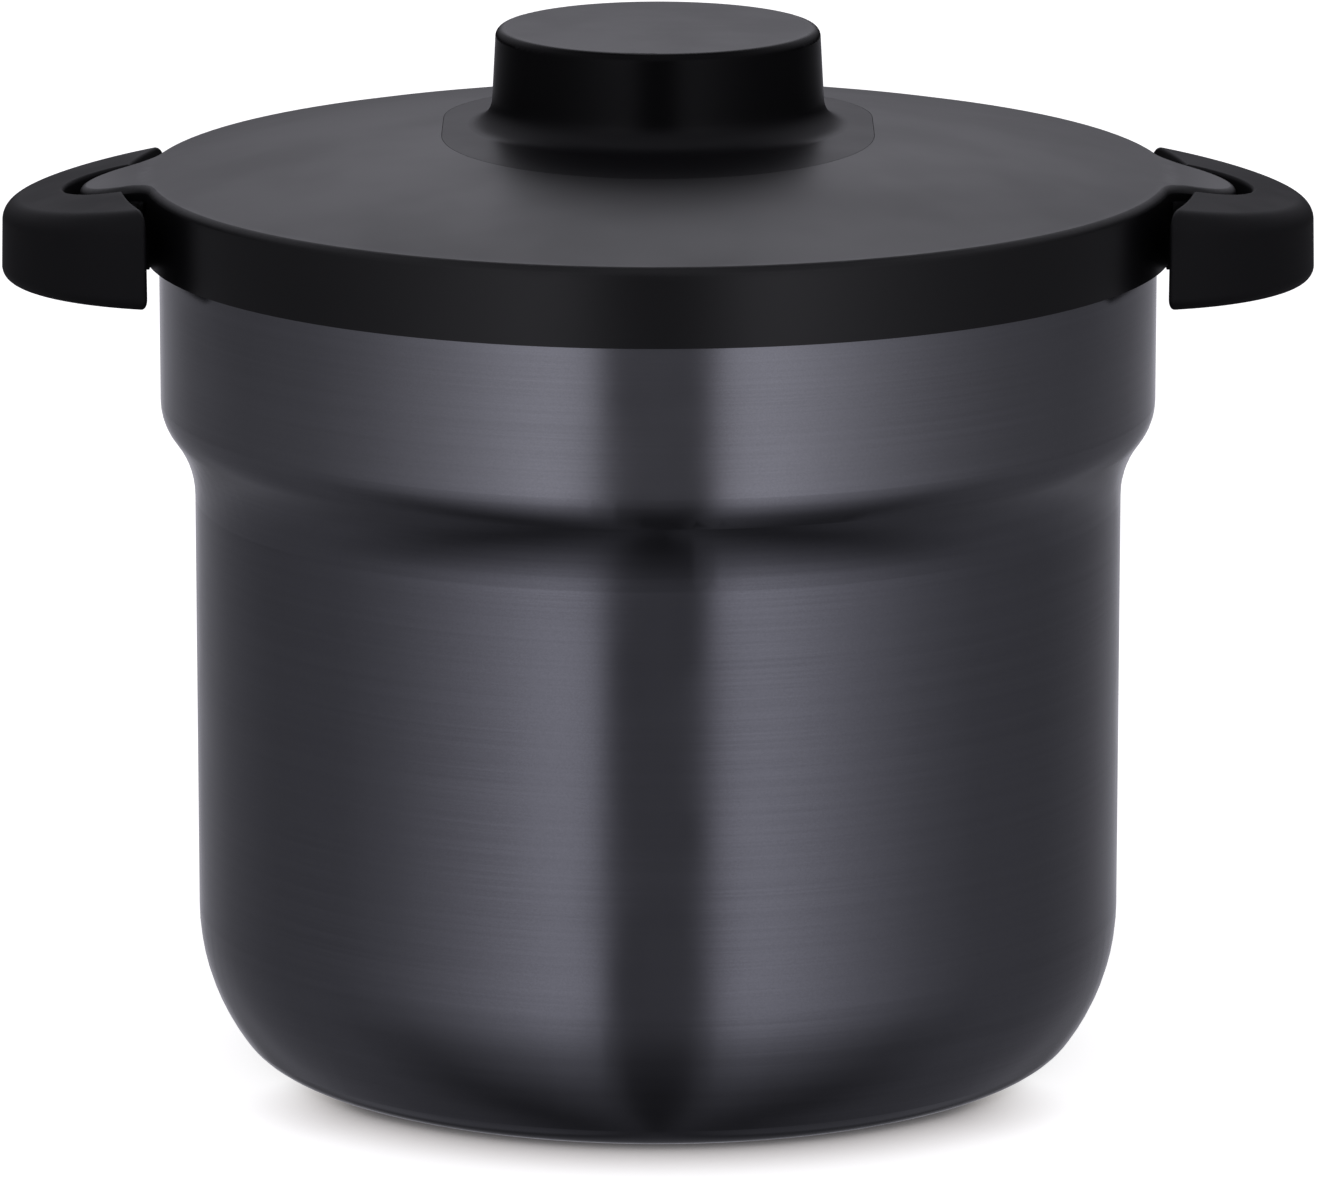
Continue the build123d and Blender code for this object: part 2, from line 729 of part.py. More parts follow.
def save(node, shape):
    if isinstance(shape, list):
        shape = Compound(children=[s for s in shape])
    shape.label = node
    export_step(shape, os.path.join("parts", node + ".step"))


def both_sides(name, shape):
    """Writes name_right for the +X side and name_left for the -X side."""
    save(name + "_right", shape)
    if isinstance(shape, list):
        save(name + "_left", [other_side(s) for s in shape])
    else:
        save(name + "_left", other_side(shape))


os.makedirs("parts", exist_ok=True)
save("outer_shell", make_outer_shell())
save("outer_band", make_outer_band())
save("inner_shell", make_inner_shell())
save("base_pan", make_base_pan())
save("vacuum_seal", make_vacuum_seal())
save("seal_cover", make_seal_cover())
save("getter", make_getter())
save("radiation_foil", make_radiation_foil())
both_sides("handle", make_handle())
both_sides("handle_bracket", make_bracket())
both_sides("handle_screws", make_handle_screws())
save("pot_body", make_pot_body())
save("pot_base_core", make_base_core())
save("pot_base_cap", make_base_cap())
both_sides("pot_ear", make_pot_ear())
both_sides("pot_ear_plate", make_pot_ear_plate())
save("pot_lid_glass", make_glass())
save("pot_lid_band", make_lid_band())
save("pot_lid_seal", make_lid_seal())
save("pot_lid_vent", make_vent())
save("pot_lid_knob", make_pot_knob())
save("pot_lid_knob_base", make_pot_knob_base())
save("pot_lid_washer", make_pot_washer())
save("pot_lid_screw", make_pot_lid_screw())
save("lid_upper_cover", make_upper_cover())
save("lid_knob", make_knob())
save("lid_lower_cover", make_lower_cover())
save("lid_insulation", make_insulation())
save("lid_cover_screws", make_cover_screws())
save("lid_knob_screws", make_knob_screws())
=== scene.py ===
"""Thermal cooker: the finishes of its pieces, and the small studio that it stands in."""

import math

import bpy
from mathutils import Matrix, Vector

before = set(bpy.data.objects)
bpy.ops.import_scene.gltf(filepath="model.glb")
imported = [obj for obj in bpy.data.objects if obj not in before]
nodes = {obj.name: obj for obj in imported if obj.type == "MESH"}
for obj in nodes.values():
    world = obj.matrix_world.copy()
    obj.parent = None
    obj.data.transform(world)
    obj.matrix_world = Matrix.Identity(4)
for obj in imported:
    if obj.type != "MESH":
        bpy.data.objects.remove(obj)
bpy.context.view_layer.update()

# Camera, from the photograph's fitted perspective: lengths in metres, the sensor in millimetres
VIEW_ELEVATION = math.radians(12.85)
VIEW_DISTANCE = 2.392
VIEW_POINT = (0, 0, 0.11005)
VIEW_POINT_PIXEL = (658, 595)
PHOTO_WIDTH = 1320
PHOTO_HEIGHT = 1200
FOCAL_PIXELS = 10000
SENSOR_WIDTH = 36
CLIP_START = 0.1
CLIP_END = 50

# Room: its brightness at the cooker's height, by degrees round from the camera
ROOM_ROUND = (
    (0, 0.2), (5, 0.165), (11, 0.07), (15.3, 0.86), (20, 0.98), (27, 0.95), (38, 0.72), (52, 0.49),
    (68, 0.31), (85, 0.21), (110, 0.18), (136, 0.205), (150, 0.26), (162, 0.33), (172, 0.65), (180, 0.8),
)
# Shares of it that are left below the horizon, by degrees down: in front, at the sides and behind
ROOM_DOWN_FRONT = (
    (0, 1.0), (11, 1.0), (13, 0.97), (15, 0.92), (20, 0.82), (30, 0.54), (40, 0.38), (50, 0.27),
    (61, 0.17), (75, 0.125), (90, 0.1),
)
ROOM_DOWN_SIDE = ((0, 1.0), (40, 1.0), (57, 0.75), (70, 0.65), (90, 0.35))
ROOM_DOWN_BACK = ((0, 1.0), (16, 1.0), (28, 0.4), (42, 0.16), (90, 0.1))
ROOM_TOP = 0.5
ROOM_TINT = (0.985, 0.975, 1.075, 1)

# Backdrop: its brightness at the horizon and high up, and the share of it that its sides have
BACKDROP_LEVELS = (0.05, 1.6)
BACKDROP_SIDE = 0.32

# Where one part of the room passes into the next, in degrees above the horizon
TOP_IN_FRONT = (4, 40)
TOP_BEHIND = (38, 70)
BACKDROP_FOOT = (-11, -6)
BACKDROP_GROWTH = (0, 32)
# The same by the turn from the camera: 0 in front of the cooker, 1 straight behind it
SIDE_TURN = (0.35, 0.58)
BEHIND_TURN = (0.45, 0.68)
BACK_TURN = (0.8, 0.9)
BACKDROP_TURN = (0.88, 1.0)

# Floor: a disc, and how strongly it glows for the camera in its painted shade and in the open
FLOOR_RADIUS = 6
FLOOR_CORNERS = 96
FLOOR_DARK = (0.785, 0.765, 0.745)
FLOOR_LIGHT = (0.80, 0.78, 0.76)
FLOOR_ROUGHNESS = 0.9
FLOOR_ROUGHNESS_SWING = 0.02
FLOOR_LIFTS = (0.05, 0.82)
LIFT_OPENNESS = (0.1, 0.8)
# The painted shade under the foot, where the floor's glow dims: its reach, where it fades out by the turn,
# and its tint
PAINTED_SHADE_REACH = 0.03
PAINTED_SHADE_SAMPLES = 8
PAINTED_SHADE_TURN = (0.24, 0.44)
PAINTED_SHADE_TINT = (1, 0.955, 0.915, 1)
TINT_OPENNESS = (0.2, 0.85)

# Degrees round to straight behind the cooker, and down to straight below it
HALF_TURN = 180
QUARTER_TURN = 90

WHITE = (1, 1, 1, 1)
SIGNED = (-1.0, 1.0)
# Most of a noise's values lie between these
NOISE_LIMITS = (0.3, 0.7)

# Layout of the node trees
COLUMN_WIDTH = 180
ROW_DROP = 60
ROWS = 5
GROUP_END = 3600
SHADER_COLUMN = 4200
OUTPUT_COLUMN = 4500

# Rings on the cooker that are rubbed, as radius and height, and how far from them the rubbing reaches
FOOT_RING = (0.0876, 0.0)
RIM_RING = (0.1212, 0.2125)
KNOB_RING = (0.0378, 0.2472)
RUB_REACH = 0.003
RUB_SMOOTHING = 0.06

# Heights between which a finish changes
STEP_TO_BAND = (0.150, 0.162)
SKIRT_TO_DOME = (0.2098, 0.2126)
FLANGE_TO_KNOB = (0.2262, 0.232)
COAT_TO_KNOB = (0.2262, 0.2335)

CHARCOAL_DARK = (0.142, 0.1435, 0.1595)
CHARCOAL_LIGHT = (0.180, 0.182, 0.2015)
CHARCOAL_RUBBED = (0.3, 0.295, 0.3, 1)
CHARCOAL_ROUGHNESS = 0.205
CHARCOAL_ROUGHNESS_SWING = 0.02
# Painted light: how far the coat on the band goes towards white, standing for the brighter light that the
# band reflects
BAND_PAINTED_LIGHT = 0.05

LID_BLACK = (0.0020, 0.0019, 0.0024)
KNOB_BLACK = (0.0012, 0.0011, 0.0014, 1)
# Painted light: the flange's black is lighter than the knob's, standing for the light that the flange
# reflects
FLANGE_PAINTED_LIGHT_BLACK = (0.005, 0.0048, 0.0056, 1)
FLANGE_COAT = 0.14

# Turned metals: colour, roughness, spacing and depth of the marks, spread of the shade, and the nodes
TURNED_METALS = {
    "steel": ((0.66, 0.65, 0.635), 0.28, 6e-4, 3e-6, 0.06,
              ("inner_shell", "base_pan", "getter", "handle_bracket_right", "handle_bracket_left",
               "pot_body", "pot_base_cap", "pot_ear_plate_right", "pot_ear_plate_left", "pot_lid_band")),
    "polished_steel": ((0.62, 0.61, 0.60), 0.14, 1.2e-3, 1.5e-6, 0.05,
                       ("pot_ear_right", "pot_ear_left", "pot_lid_vent", "pot_lid_knob_base")),
    "screw_steel": ((0.47, 0.46, 0.45), 0.34, 4e-4, 6e-6, 0.12,
                    ("handle_screws_right", "handle_screws_left", "pot_lid_screw", "lid_cover_screws",
                     "lid_knob_screws")),
    "solder": ((0.42, 0.42, 0.43), 0.42, 1.5e-3, 2e-5, 0.2, ("vacuum_seal",)),
    "base_disc": ((0.33, 0.33, 0.335), 0.5, 8e-4, 8e-6, 0.12, ("seal_cover",)),
    "base_aluminium": ((0.74, 0.745, 0.75), 0.38, 7e-4, 8e-6, 0.12, ("pot_base_core",)),
}
# Moulded pieces: colour, roughness, size and depth of the grain, spread of the shade, specular level, nodes
MOULDED_PIECES = {
    "handle_resin": ((0.0036, 0.0034, 0.0040), 0.63, 5e-4, 8e-6, 0.1, 0.21,
                     ("handle_right", "handle_left", "pot_lid_knob")),
    "silicone": ((0.55, 0.55, 0.53), 0.48, 8e-4, 4e-6, 0.05, 0.5, ("pot_lid_seal", "pot_lid_washer")),
    "liner_resin": ((0.030, 0.030, 0.032), 0.42, 5e-4, 5e-6, 0.1, 0.5, ("lid_lower_cover",)),
}


def add_camera():
    data = bpy.data.cameras.new("camera")
    data.sensor_width = SENSOR_WIDTH
    data.lens = SENSOR_WIDTH * FOCAL_PIXELS / PHOTO_WIDTH
    data.shift_x = (PHOTO_WIDTH / 2 - VIEW_POINT_PIXEL[0]) / PHOTO_WIDTH
    data.shift_y = (VIEW_POINT_PIXEL[1] - PHOTO_HEIGHT / 2) / PHOTO_WIDTH
    data.clip_start = CLIP_START
    data.clip_end = CLIP_END
    camera = bpy.data.objects.new("camera", data)
    bpy.context.scene.collection.objects.link(camera)
    away = Vector((0, -math.cos(VIEW_ELEVATION), math.sin(VIEW_ELEVATION)))
    camera.location = Vector(VIEW_POINT) + away * VIEW_DISTANCE
    camera.rotation_euler = (-away).to_track_quat("-Z", "Y").to_euler()
    bpy.context.scene.camera = camera


class Graph:
    """A node tree with short ways to add and link its nodes, laid out in columns."""

    def __init__(self, tree):
        self.tree = tree
        self.column = 0

    def node(self, kind, **values):
        node = self.tree.nodes.new(kind)
        self.column += 1
        node.location = (COLUMN_WIDTH * self.column, -ROW_DROP * (self.column % ROWS))
        for key, value in values.items():
            setattr(node, key, value)
        return node

    def feed(self, socket, value):
        """Links a socket into another one, or sets it to a value."""
        if isinstance(value, bpy.types.NodeSocket):
            self.tree.links.new(value, socket)
        else:
            socket.default_value = value

    def math(self, operation, first, second=0.0):
        node = self.node("ShaderNodeMath", operation=operation)
        self.feed(node.inputs[0], first)
        self.feed(node.inputs[1], second)
        return node.outputs[0]

    def length(self, first, second):
        """The length of the hypotenuse over two sides."""
        squares = [self.math("MULTIPLY", side, side) for side in (first, second)]
        return self.math("SQRT", self.math("ADD", *squares))

    def ramp(self, value, limits, levels=(0.0, 1.0), smooth=True):
        """Maps the limits to the levels, and stays at a level beyond its limit."""
        node = self.node("ShaderNodeMapRange", interpolation_type="SMOOTHSTEP" if smooth else "LINEAR")
        self.feed(node.inputs["Value"], value)
        for label, number in zip(("From Min", "From Max", "To Min", "To Max"), (*limits, *levels)):
            self.feed(node.inputs[label], number)
        return node.outputs["Result"]

    def blend(self, share, first, second):
        node = self.node("ShaderNodeMix", data_type="FLOAT")
        self.feed(node.inputs[0], share)
        self.feed(node.inputs[2], first)
        self.feed(node.inputs[3], second)
        return node.outputs[0]

    def tint(self, share, first, second):
        """Blends two colours."""
        node = self.node("ShaderNodeMix", data_type="RGBA")
        self.feed(node.inputs[0], share)
        self.feed(node.inputs[6], first)
        self.feed(node.inputs[7], second)
        return node.outputs[2]

    def noise(self, place, scale, detail, roughness):
        node = self.node("ShaderNodeTexNoise")
        self.feed(node.inputs["Vector"], place)
        self.feed(node.inputs["Scale"], scale)
        self.feed(node.inputs["Detail"], detail)
        self.feed(node.inputs["Roughness"], roughness)
        return node.outputs["Fac"]

    def curve(self, value, stops, whole):
        """Follows the stops (place, level); value is 1 where the place is the whole."""
        node = self.node("ShaderNodeValToRGB")
        elements = node.color_ramp.elements
        for number, (place, level) in enumerate(stops):
            element = elements[number] if number < 2 else elements.new(place / whole)
            element.position = place / whole
            element.color = (level, level, level, 1)
        self.feed(node.inputs[0], value)
        return node.outputs["Color"]

    def split(self, vector):
        node = self.node("ShaderNodeSeparateXYZ")
        self.feed(node.inputs[0], vector)
        return node.outputs

    def join(self, x, y, z):
        node = self.node("ShaderNodeCombineXYZ")
        for socket, value in zip(node.inputs, (x, y, z)):
            self.feed(socket, value)
        return node.outputs[0]

    def place(self):
        """The place on the piece, in metres."""
        return self.node("ShaderNodeTexCoord").outputs["Object"]

    def height(self):
        return self.split(self.place())[2]

    def turn(self, x, y):
        """How far round from the camera's side: 0 in front, 1 behind, the same on both sides."""
        angle = self.math("ARCTAN2", self.math("ABSOLUTE", x), self.math("MULTIPLY", y, -1.0))
        return self.math("DIVIDE", angle, math.pi)


def in_radians(limits):
    return [math.radians(degrees) for degrees in limits]


def set_world():
    """White wherever the camera looks. The cooker sees a dark gap in front, a soft light on each side
    of it, a dim room round the sides, and a pale backdrop behind that grows lighter upwards."""
    world = bpy.data.worlds.new("studio")
    bpy.context.scene.world = world
    world.use_nodes = True
    tree = world.node_tree
    tree.nodes.clear()
    graph = Graph(tree)
    x, y, z = graph.split(graph.node("ShaderNodeTexCoord").outputs["Generated"])
    turn = graph.turn(x, y)
    rise = graph.math("ARCSINE", z)
    room = graph.curve(turn, ROOM_ROUND, HALF_TURN)
    above = graph.blend(graph.ramp(rise, in_radians(TOP_IN_FRONT)), room, ROOM_TOP)
    backdrop = graph.ramp(rise, in_radians(BACKDROP_GROWTH), BACKDROP_LEVELS, smooth=False)
    backdrop = graph.blend(graph.ramp(rise, in_radians(TOP_BEHIND)), backdrop, ROOM_TOP)
    backdrop = graph.math("MULTIPLY", backdrop, graph.ramp(turn, BACKDROP_TURN, (BACKDROP_SIDE, 1.0)))
    behind = graph.blend(graph.ramp(rise, in_radians(BACKDROP_FOOT)), room, backdrop)
    level = graph.blend(graph.ramp(turn, BEHIND_TURN), above, behind)
    down = graph.math("DIVIDE", rise, -math.pi / 2)
    front, side, back = [graph.curve(down, shares, QUARTER_TURN)
                         for shares in (ROOM_DOWN_FRONT, ROOM_DOWN_SIDE, ROOM_DOWN_BACK)]
    fade = graph.blend(graph.ramp(turn, SIDE_TURN), front, side)
    fade = graph.blend(graph.ramp(turn, BACK_TURN), fade, back)
    lit = graph.node("ShaderNodeBackground")
    graph.feed(lit.inputs["Strength"], graph.math("MULTIPLY", level, fade))
    graph.feed(lit.inputs["Color"], ROOM_TINT)
    white = graph.node("ShaderNodeBackground")
    graph.feed(white.inputs["Color"], WHITE)
    paths = graph.node("ShaderNodeLightPath").outputs
    mix = graph.node("ShaderNodeMixShader")
    graph.feed(mix.inputs[0], graph.math("MAXIMUM", paths["Is Camera Ray"], paths["Is Transmission Ray"]))
    graph.feed(mix.inputs[1], lit.outputs[0])
    graph.feed(mix.inputs[2], white.outputs[0])
    graph.feed(graph.node("ShaderNodeOutputWorld").inputs["Surface"], mix.outputs[0])


def new_group(name, inputs, outputs):
    """A shader node group with float inputs (name, value) and float outputs."""
    tree = bpy.data.node_groups.new(name, "ShaderNodeTree")
    for label, value in inputs:
        socket = tree.interface.new_socket(name=label, in_out="INPUT", socket_type="NodeSocketFloat")
        socket.default_value = value
    for label in outputs:
        tree.interface.new_socket(name=label, in_out="OUTPUT", socket_type="NodeSocketFloat")
    graph = Graph(tree)
    entry = graph.node("NodeGroupInput")
    leave = tree.nodes.new("NodeGroupOutput")
    leave.location = (GROUP_END, 0)
    return tree, graph, entry.outputs, leave.inputs


def make_moulded_grain():
    """The fine spark-eroded texture of a moulded face, and slow patches in its sheen."""
    tree, graph, given, gives = new_group("moulded_grain", [("Grain Size", 0.0004), ("Patch Size", 0.03)],
                                          ["Height", "Tone", "Patches"])
    place = graph.place()
    grain = graph.noise(place, graph.math("DIVIDE", 1.0, given["Grain Size"]), detail=2.0, roughness=0.6)
    patches = graph.noise(place, graph.math("DIVIDE", 1.0, given["Patch Size"]), detail=3.0, roughness=0.5)
    graph.feed(gives["Height"], grain)
    graph.feed(gives["Tone"], graph.ramp(grain, NOISE_LIMITS, SIGNED))
    graph.feed(gives["Patches"], graph.ramp(patches, NOISE_LIMITS, SIGNED))
    return tree


def make_turned_marks():
    """Fine lines that run round the Z axis, as spinning and polishing leave them. They wander a
    little, and fade in and out round the piece."""
    least_radius = 0.001
    patches_per_metre = 28.0
    faintest = 0.35
    tree, graph, given, gives = new_group("turned_marks", [("Spacing", 0.0007), ("Wander", 0.0004)],
                                          ["Height", "Tone", "Patches"])
    place = graph.place()
    x, y, z = graph.split(place)
    radius = graph.length(x, y)
    share = graph.math("DIVIDE", given["Wander"], graph.math("MAXIMUM", radius, least_radius))
    drift_x, drift_y = [graph.math("MULTIPLY", part, share) for part in (x, y)]
    across = graph.join(graph.math("ADD", radius, drift_x), drift_y, graph.math("ADD", z, drift_y))
    lines = graph.noise(across, graph.math("DIVIDE", 1.0, given["Spacing"]), detail=3.0, roughness=0.65)
    patches = graph.noise(place, patches_per_metre, detail=2.0, roughness=0.5)
    strength = graph.ramp(patches, NOISE_LIMITS, (faintest, 1.0))
    tone = graph.ramp(lines, NOISE_LIMITS, SIGNED)
    graph.feed(gives["Height"], graph.math("MULTIPLY", lines, strength))
    graph.feed(gives["Tone"], graph.math("MULTIPLY", tone, strength))
    graph.feed(gives["Patches"], graph.ramp(patches, NOISE_LIMITS, SIGNED))
    return tree


def make_ring_rub():
    """How far a face near a ring round the Z axis is rubbed: 1 on the ring, broken up, 0 away from it."""
    specks_per_metre = 160.0
    speck_limits = (0.35, 0.65)
    least_rubbed = 0.25
    tree, graph, given, gives = new_group("ring_rub", [("Radius", 0.1), ("Height", 0.0), ("Reach", 0.002)],
                                          ["Rubbed"])
    place = graph.place()
    x, y, z = graph.split(place)
    out = graph.math("SUBTRACT", graph.length(x, y), given["Radius"])
    gap = graph.length(out, graph.math("SUBTRACT", z, given["Height"]))
    near = graph.ramp(graph.math("DIVIDE", gap, given["Reach"]), (0.0, 1.0), (1.0, 0.0))
    specks = graph.noise(place, specks_per_metre, detail=4.0, roughness=0.6)
    broken = graph.ramp(specks, speck_limits, (least_rubbed, 1.0))
    graph.feed(gives["Rubbed"], graph.math("MULTIPLY", near, broken))
    return tree


def make_flake():
    """Metal flake under a coat: each flake a little lighter or darker than the next."""
    tree, graph, given, gives = new_group("flake", [("Flake Size", 0.0003)], ["Tone"])
    cells = graph.node("ShaderNodeTexVoronoi", feature="F1")
    graph.feed(cells.inputs["Vector"], graph.place())
    graph.feed(cells.inputs["Scale"], graph.math("DIVIDE", 1.0, given["Flake Size"]))
    color = graph.node("ShaderNodeSeparateColor")
    graph.feed(color.inputs[0], cells.outputs["Color"])
    graph.feed(gives["Tone"], graph.ramp(color.outputs["Red"], (0.0, 1.0), SIGNED, smooth=False))
    return tree


moulded_grain = make_moulded_grain()
turned_marks = make_turned_marks()
ring_rub = make_ring_rub()
flake = make_flake()


class Finish:
    """A material on the Principled shader, with ways to place the shared groups in it."""

    def __init__(self, name, **constants):
        self.material = bpy.data.materials.new(name)
        self.material.use_nodes = True
        self.tree = self.material.node_tree
        self.shader = self.tree.nodes["Principled BSDF"]
        self.shader.location = (SHADER_COLUMN, 0)
        self.tree.nodes["Material Output"].location = (OUTPUT_COLUMN, 0)
        self.graph = Graph(self.tree)
        for label, value in constants.items():
            self.feed(label.replace("_", " ").title().replace("Ior", "IOR"), value)

    def feed(self, label, value):
        """Links or sets one of the shader's own sockets."""
        self.graph.feed(self.shader.inputs[label], value)

    def place_group(self, tree, **values):
        node = self.graph.node("ShaderNodeGroup", node_tree=tree)
        for label, value in values.items():
            self.graph.feed(node.inputs[label.replace("_", " ").title()], value)
        return node.outputs

    def rubbed(self, ring):
        radius, height = ring
        return self.place_group(ring_rub, radius=radius, height=height, reach=RUB_REACH)["Rubbed"]

    def mixed(self, first, second, share):
        """The share of the first value plus the rest of the second."""
        parts = [self.graph.math("MULTIPLY", first, share), self.graph.math("MULTIPLY", second, 1 - share)]
        return self.graph.math("ADD", *parts)

    def color(self, dark, light, tone):
        """Base colour between dark and light, by a tone from -1 to 1."""
        share = self.graph.ramp(tone, SIGNED, smooth=False)
        color = self.graph.tint(share, (*dark, 1), (*light, 1))
        self.feed("Base Color", color)
        return color

    def roughness(self, middle, swing, tone):
        self.feed("Roughness", self.graph.ramp(tone, SIGNED, (middle - swing, middle + swing)))

    def bump(self, height, depth):
        """Raises the surface by depth metres where height is 1."""
        node = self.graph.node("ShaderNodeBump")
        self.graph.feed(node.inputs["Height"], height)
        self.graph.feed(node.inputs["Distance"], depth)
        self.graph.feed(node.inputs["Strength"], 1.0)
        self.feed("Normal", node.outputs["Normal"])


def shade_pair(color, spread):
    """A darker and a lighter shade of a colour."""
    return [c * (1 - spread) for c in color], [c * (1 + spread) for c in color]


def start_moulded(name, grain_size, grain_depth, **constants):
    """A resin with the fine grain of its mould, and no colour or sheen yet."""
    finish = Finish(name, **constants)
    grain = finish.place_group(moulded_grain, grain_size=grain_size)
    finish.bump(grain["Height"], grain_depth)
    return finish, grain


def color_moulded(finish, grain, color, spread):
    """A resin's colour, with a slight drift."""
    grain_share = 0.5
    finish.color(*shade_pair(color, spread), finish.mixed(grain["Tone"], grain["Patches"], grain_share))


def make_moulded(name, color, roughness, grain_size, grain_depth, spread, specular):
    """A moulded resin: fine grain, slow patches in the sheen, a slight drift in colour."""
    swing = 0.03
    finish, grain = start_moulded(name, grain_size, grain_depth, specular_ior_level=specular)
    color_moulded(finish, grain, color, spread)
    finish.roughness(roughness, swing, grain["Patches"])
    return finish


def make_turned_metal(name, color, roughness, spacing, depth, spread):
    """Metal with fine marks round the Z axis."""
    swing_share = 0.12
    marks_share = 0.6
    finish = Finish(name, metallic=1.0)
    marks = finish.place_group(turned_marks, spacing=spacing)
    finish.color(*shade_pair(color, spread), marks["Tone"])
    tone = finish.mixed(marks["Tone"], marks["Patches"], marks_share)
    finish.roughness(roughness, roughness * swing_share, tone)
    finish.bump(marks["Height"], depth)
    return finish


def make_charcoal_coat():
    """The body's metallic charcoal coat, faintly violet, over finely turned steel."""
    marks_share = 0.55
    foot_rubbing = 0.4
    mark_depth = 4e-6
    finish = Finish("charcoal_coat", metallic=1.0)
    graph = finish.graph
    marks = finish.place_group(turned_marks, spacing=8e-4, wander=6e-4)
    flakes = finish.place_group(flake, flake_size=2.5e-4)
    tone = finish.mixed(marks["Tone"], flakes["Tone"], marks_share)
    base = finish.color(CHARCOAL_DARK, CHARCOAL_LIGHT, tone)
    rubbed = graph.tint(graph.math("MULTIPLY", finish.rubbed(FOOT_RING), foot_rubbing), base, CHARCOAL_RUBBED)
    # Painted light: above the step the coat's colour is made lighter, standing for the brighter light that
    # the band reflects
    band = graph.ramp(graph.height(), STEP_TO_BAND, (0.0, BAND_PAINTED_LIGHT))
    finish.feed("Base Color", graph.tint(band, rubbed, WHITE))
    finish.roughness(CHARCOAL_ROUGHNESS, CHARCOAL_ROUGHNESS_SWING, marks["Patches"])
    finish.bump(marks["Height"], mark_depth)
    return finish


def worn_sheen(finish, change, levels, patch_size, swing, ring):
    """Roughness that changes with height and drifts in patches, and is less round a ring that hands rub."""
    graph = finish.graph
    grain = finish.place_group(moulded_grain, patch_size=patch_size)
    level = graph.ramp(graph.height(), change, levels)
    level = graph.math("ADD", level, graph.math("MULTIPLY", grain["Patches"], swing))
    smoother = graph.math("MULTIPLY", finish.rubbed(ring), RUB_SMOOTHING)
    finish.feed("Roughness", graph.math("SUBTRACT", level, smoother))


def make_lid_resin():
    """The lid's black resin: a satin dome, a smoother skirt, and a rim a little polished by hands."""
    finish, grain = start_moulded("lid_resin", grain_size=5e-4, grain_depth=6e-6, specular_ior_level=0.37)
    color_moulded(finish, grain, LID_BLACK, spread=0.1)
    worn_sheen(finish, SKIRT_TO_DOME, levels=(0.31, 0.42), patch_size=0.045, swing=0.025, ring=RIM_RING)
    return finish


def make_knob_resin():
    """The knob's smooth black resin, matter on its flange, with a painted lighter black on the flange, and
    rubbed smoother round its top edge.
    """
    finish, _ = start_moulded("knob_resin", grain_size=4e-4, grain_depth=2.5e-6, specular_ior_level=0.1,
                              coat_roughness=0.33)
    graph = finish.graph
    # Painted light: below the knob the flange gets a lighter black
    share = graph.ramp(graph.height(), FLANGE_TO_KNOB)
    finish.feed("Base Color", graph.tint(share, FLANGE_PAINTED_LIGHT_BLACK, KNOB_BLACK))
    worn_sheen(finish, FLANGE_TO_KNOB, levels=(0.43, 0.3), patch_size=0.02, swing=0.02, ring=KNOB_RING)
    finish.feed("Coat Weight", graph.ramp(graph.height(), COAT_TO_KNOB, (FLANGE_COAT, 0.0)))
    return finish


def make_patchy(name, dark, light, color_by, roughness, swing, sheen_by, grain_size, patch_size, depth,
                **constants):
    """A finish whose colour and sheen each follow an output of the grain."""
    finish = Finish(name, **constants)
    grain = finish.place_group(moulded_grain, grain_size=grain_size, patch_size=patch_size)
    finish.color(dark, light, grain[color_by])
    finish.roughness(roughness, swing, grain[sheen_by])
    finish.bump(grain["Height"], depth)
    return finish


def make_lid_glass():
    """Clear tempered glass with a faint green cast and light water marks."""
    return make_patchy("lid_glass", dark=(0.74, 0.81, 0.78), light=(0.82, 0.88, 0.855), color_by="Patches",
                       roughness=0.06, swing=0.03, sheen_by="Patches", grain_size=0.004, patch_size=0.03,
                       depth=2e-6, transmission_weight=1.0, ior=1.5)


def make_foam():
    """Pale open foam."""
    return make_patchy("foam", dark=(0.55, 0.53, 0.47), light=(0.78, 0.76, 0.70), color_by="Tone",
                       roughness=0.92, swing=0.04, sheen_by="Patches", grain_size=0.0012, patch_size=0.02,
                       depth=3e-4)


def make_foil():
    """Thin crinkled foil."""
    return make_patchy("foil", dark=(0.72, 0.71, 0.69), light=(0.88, 0.87, 0.85), color_by="Patches",
                       roughness=0.2, swing=0.08, sheen_by="Tone", grain_size=0.006, patch_size=0.015,
                       depth=4e-4, metallic=1.0)


def dress(finish, *names):
    """Gives a finish to CAD nodes."""
    for name in names:
        data = nodes[name].data
        data.materials.clear()
        data.materials.append(finish.material)


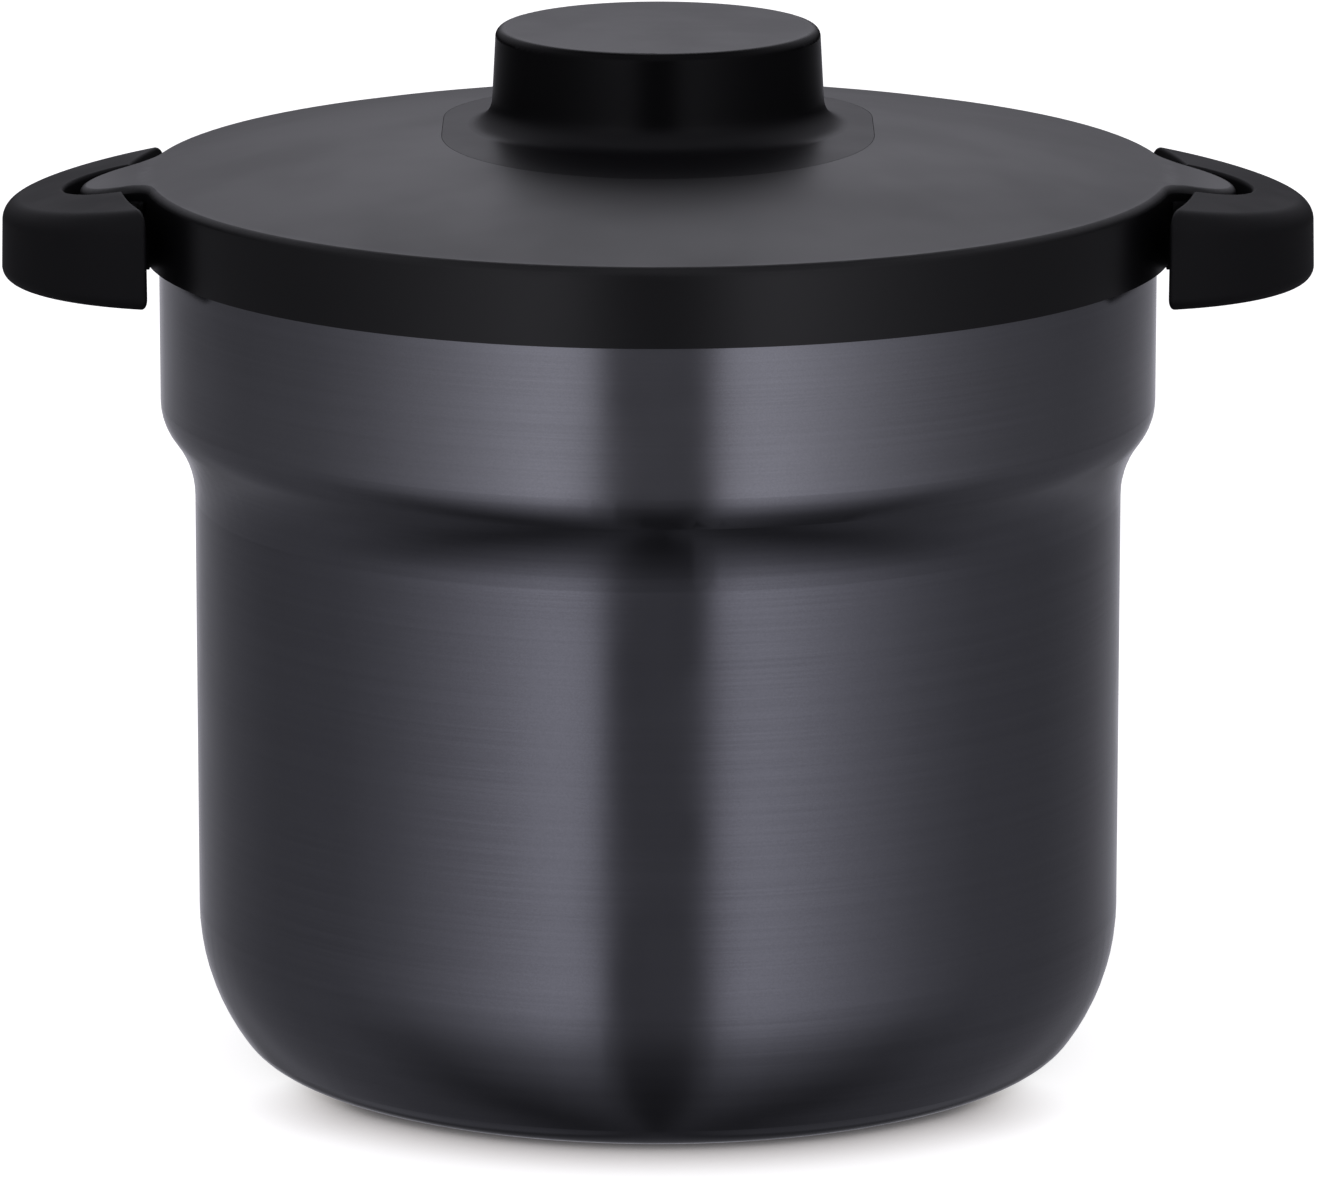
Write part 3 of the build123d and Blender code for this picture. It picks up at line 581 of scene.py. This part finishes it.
def dress_all():
    dress(make_charcoal_coat(), "outer_shell", "outer_band")
    dress(make_lid_resin(), "lid_upper_cover")
    dress(make_knob_resin(), "lid_knob")
    for name, (*values, names) in TURNED_METALS.items():
        dress(make_turned_metal(name, *values), *names)
    for name, (*values, names) in MOULDED_PIECES.items():
        dress(make_moulded(name, *values), *names)
    dress(make_foil(), "radiation_foil")
    dress(make_lid_glass(), "pot_lid_glass")
    dress(make_foam(), "lid_insulation")


def make_floor_finish():
    """A matt pale tabletop that glows white for the camera; the glow dims in a painted shade under the foot,
    to the front, over its real shadow.
    """
    finish = Finish("pale_floor", specular_ior_level=0.0)
    grain = finish.place_group(moulded_grain, grain_size=0.002, patch_size=0.4)
    finish.color(FLOOR_DARK, FLOOR_LIGHT, grain["Patches"])
    finish.roughness(FLOOR_ROUGHNESS, FLOOR_ROUGHNESS_SWING, grain["Patches"])
    graph = finish.graph
    paths = graph.node("ShaderNodeLightPath").outputs
    seen = graph.math("MAXIMUM", paths["Is Camera Ray"], paths["Is Glossy Ray"])
    seen = graph.math("MAXIMUM", seen, paths["Is Transmission Ray"])
    # Painted shade: ambient occlusion near the foot dims the glow, only towards the front, and tints it warm
    shade = graph.node("ShaderNodeAmbientOcclusion", samples=PAINTED_SHADE_SAMPLES)
    graph.feed(shade.inputs["Distance"], PAINTED_SHADE_REACH)
    x, y, _ = graph.split(graph.place())
    openness = graph.blend(graph.ramp(graph.turn(x, y), PAINTED_SHADE_TURN), shade.outputs["AO"], 1.0)
    finish.feed("Emission Color", graph.tint(graph.ramp(openness, TINT_OPENNESS), PAINTED_SHADE_TINT, WHITE))
    lift = graph.ramp(openness, LIFT_OPENNESS, FLOOR_LIFTS, smooth=False)
    finish.feed("Emission Strength", graph.math("MULTIPLY", seen, lift))
    return finish


def add_floor():
    bpy.ops.object.select_all(action="DESELECT")
    bpy.ops.mesh.primitive_circle_add(vertices=FLOOR_CORNERS, radius=FLOOR_RADIUS, fill_type="NGON",
                                      location=(0, 0, 0))
    floor = bpy.context.object
    floor.name = "floor"
    floor.data.materials.append(make_floor_finish().material)
    floor.visible_glossy = False


add_camera()
set_world()
dress_all()
add_floor()

bpy.context.scene.view_settings.view_transform = "Standard"
